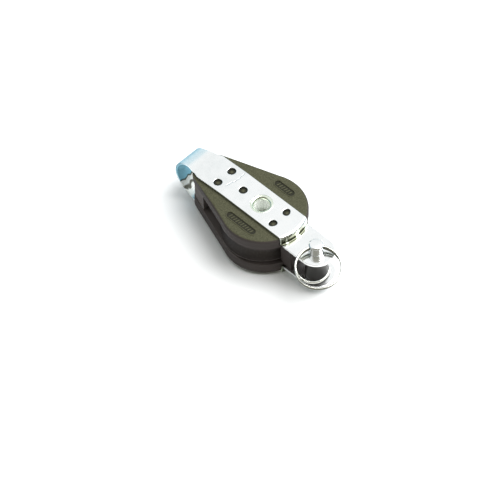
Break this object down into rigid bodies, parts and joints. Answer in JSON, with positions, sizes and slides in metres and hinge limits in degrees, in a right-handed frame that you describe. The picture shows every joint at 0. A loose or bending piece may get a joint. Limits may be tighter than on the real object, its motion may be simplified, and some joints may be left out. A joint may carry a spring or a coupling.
{
  "type": "single block with becket",
  "caption": "Strapped pulley block with a fixed eye at its head, a grooved sheave on ball bearings and a becket pin with bobbin and split ring at its tail.",
  "frame": {"origin": "middle of the axle, halfway between the two cheeks", "axes": "+X from the head eye to the becket, +Z along the axle, out of the cheek that the split ring is on"},
  "size_m": [0.1228, 0.0482, 0.031],
  "materials": {
    "polished_steel": "polished stainless steel",
    "axle_steel": "turned stainless steel",
    "wire_steel": "polished stainless wire",
    "cheek_plastic": "fine-grained glass-filled nylon, olive-grey on the flat faces",
    "sheave_plastic": "smooth black acetal",
    "bobbin_plastic": "satin black acetal",
    "ball_plastic": "white acetal"
  },
  "bodies": {
    "frame": {"strap": "polished_steel", "upper_cheek": "cheek_plastic", "lower_cheek": "cheek_plastic", "axle_tube": "axle_steel", "inner_race": "axle_steel", "upper_ball_retainer": "sheave_plastic", "lower_ball_retainer": "sheave_plastic"},
    "wheel": {"sheave": "sheave_plastic"},
    "upper_balls": {"upper_ball_row": "ball_plastic"},
    "lower_balls": {"lower_ball_row": "ball_plastic"},
    "pin": {"becket_pin": "polished_steel"},
    "bobbin": {"becket_bobbin": "bobbin_plastic"},
    "ring": {"split_ring": "wire_steel"}
  },
  "joints": [
    {"name": "sheave_spin", "type": "hinge", "parent": "frame", "child": "wheel", "pos_m": [0, 0, 0], "axis": [0, 0, 1], "continuous": true},
    {"name": "upper_balls_roll", "type": "hinge", "parent": "frame", "child": "upper_balls", "pos_m": [0, 0, 0], "axis": [0, 0, 1], "continuous": true},
    {"name": "lower_balls_roll", "type": "hinge", "parent": "frame", "child": "lower_balls", "pos_m": [0, 0, 0], "axis": [0, 0, 1], "continuous": true},
    {"name": "bobbin_spin", "type": "hinge", "parent": "frame", "child": "bobbin", "pos_m": [0.041, 0, 0], "axis": [0, 0, 1], "continuous": true},
    {"name": "pin_turn", "type": "hinge", "parent": "frame", "child": "pin", "pos_m": [0.041, 0, 0], "axis": [0, 0, 1], "range_deg": [0, 80]},
    {"name": "ring_swing", "type": "hinge", "parent": "pin", "child": "ring", "pos_m": [0.041, 0, 0.0129], "axis": [-0.6428, -0.766, 0], "range_deg": [0, 155]}
  ],
  "couplings": [
    {"joint": "upper_balls_roll", "follows": "sheave_spin", "ratio": 0.5727},
    {"joint": "lower_balls_roll", "follows": "sheave_spin", "ratio": 0.5727}
  ]
}
